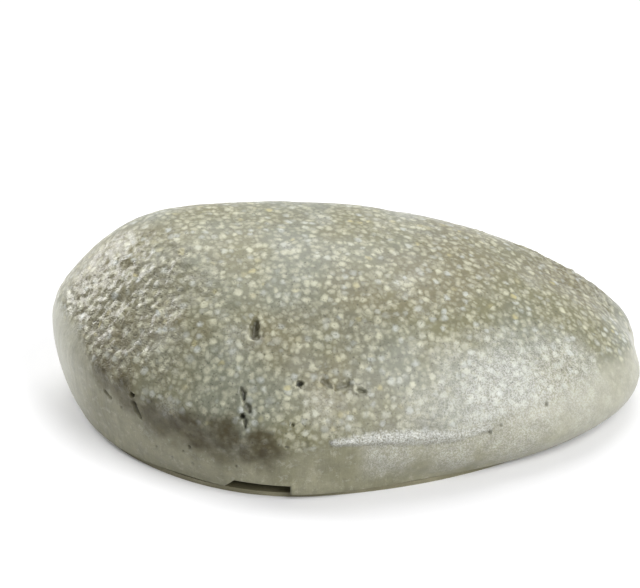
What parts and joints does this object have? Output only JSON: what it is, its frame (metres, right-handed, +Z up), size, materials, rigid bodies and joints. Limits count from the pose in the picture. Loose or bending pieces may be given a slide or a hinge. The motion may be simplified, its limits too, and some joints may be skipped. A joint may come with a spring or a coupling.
{
  "type": "hide a key rock",
  "caption": "Hollow cast pebble with a pitted, speckled, varnished skin that tips back on a rear hinge from a thin base plate to reach a lined tray for a spare key.",
  "frame": {"origin": "centre of the stone's outline on the ground, on the flat underside", "axes": "+X towards the tapered end, -X the blunt end, -Y the front with the finger notch, +Y the hinge, +Z up"},
  "size_m": [0.132, 0.0804, 0.043],
  "materials": {
    "cast_stone": "varnished",
    "base_plastic": "matt",
    "tray_plastic": "fine grained",
    "felt": "felted",
    "foam": "open-celled foam",
    "seal_rubber": "matt",
    "steel": "zinc plated",
    "brass": "turned",
    "magnet": "nickel plated"
  },
  "bodies": {
    "base": {"base_plate": "base_plastic", "hinge_pin": "steel", "rim_seal": "seal_rubber", "key_tray": "tray_plastic", "tray_liner": "felt", "tray_screw_1": "steel", "tray_screw_2": "steel", "tray_screw_3": "steel", "tray_screw_4": "steel", "base_magnet_left": "magnet", "base_magnet_right": "magnet"},
    "stone": {"rock_shell": "cast_stone", "hinge_leaf": "steel", "leaf_screw_1": "steel", "leaf_screw_2": "steel", "leaf_insert_1": "brass", "leaf_insert_2": "brass", "shell_magnet_left": "magnet", "shell_magnet_right": "magnet", "roof_pad": "foam"}
  },
  "joints": [
    {"name": "stone_hinge", "type": "hinge", "parent": "base", "child": "stone", "pos_m": [-0.0127, 0.0375, 0.0033], "axis": [-1, 0, 0], "range_deg": [0, 80]}
  ]
}
